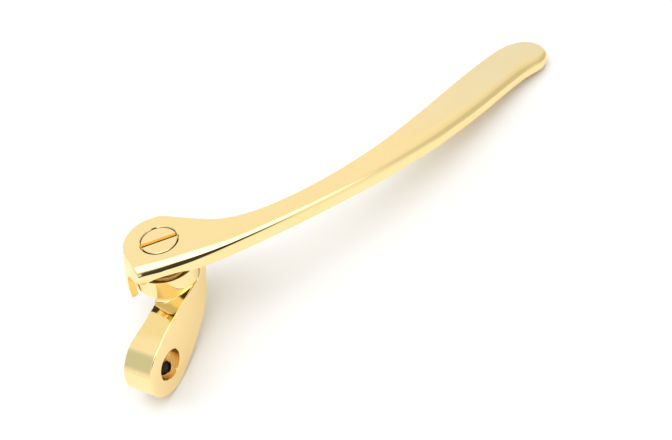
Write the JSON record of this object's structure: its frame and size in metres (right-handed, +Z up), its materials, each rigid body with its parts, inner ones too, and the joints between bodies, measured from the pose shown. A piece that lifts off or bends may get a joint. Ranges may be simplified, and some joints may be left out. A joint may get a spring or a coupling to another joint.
{
  "type": "swivel lever handle",
  "caption": "Long flat swivelling lever handle on a slotted pivot screw, over a cranked link that clamps on a round shaft.",
  "frame": {"origin": "centre of the bore in the link's eye, at half the eye's width", "axes": "+Y along the bore, +X towards the lever's tip, +Z up; the pivot axis leans 12.9 degrees from +Z towards +X"},
  "size_m": [0.1611, 0.0905, 0.0353],
  "materials": {
    "gold_plate": "mirror-polished gold plate",
    "screw_gold_plate": "polished gold plate over turned steel",
    "bearing_bronze": "machined bronze",
    "nylon": "natural nylon",
    "spring_steel": "bright zinc-plated steel",
    "blackened_steel": "black oxide"
  },
  "bodies": {
    "link": {"link_bracket": "gold_plate", "pivot_screw": "screw_gold_plate", "lock_washer": "spring_steel", "lock_nut": "spring_steel", "thrust_washer": "nylon", "wave_washer": "spring_steel"},
    "lever": {"lever_arm": "gold_plate", "pivot_bush": "bearing_bronze"},
    "grub": {"grub_screw": "blackened_steel"}
  },
  "joints": [
    {"name": "lever_swivel", "type": "hinge", "parent": "link", "child": "lever", "pos_m": [0.0268, 0.00575, 0.0222], "axis": [0.2233, 0, 0.9748], "range_deg": [-77, 34]},
    {"name": "grub_screw_travel", "type": "slide", "parent": "link", "child": "grub", "axis": [0, 0, 1], "range_m": [-0.0008, 0.0014]}
  ]
}
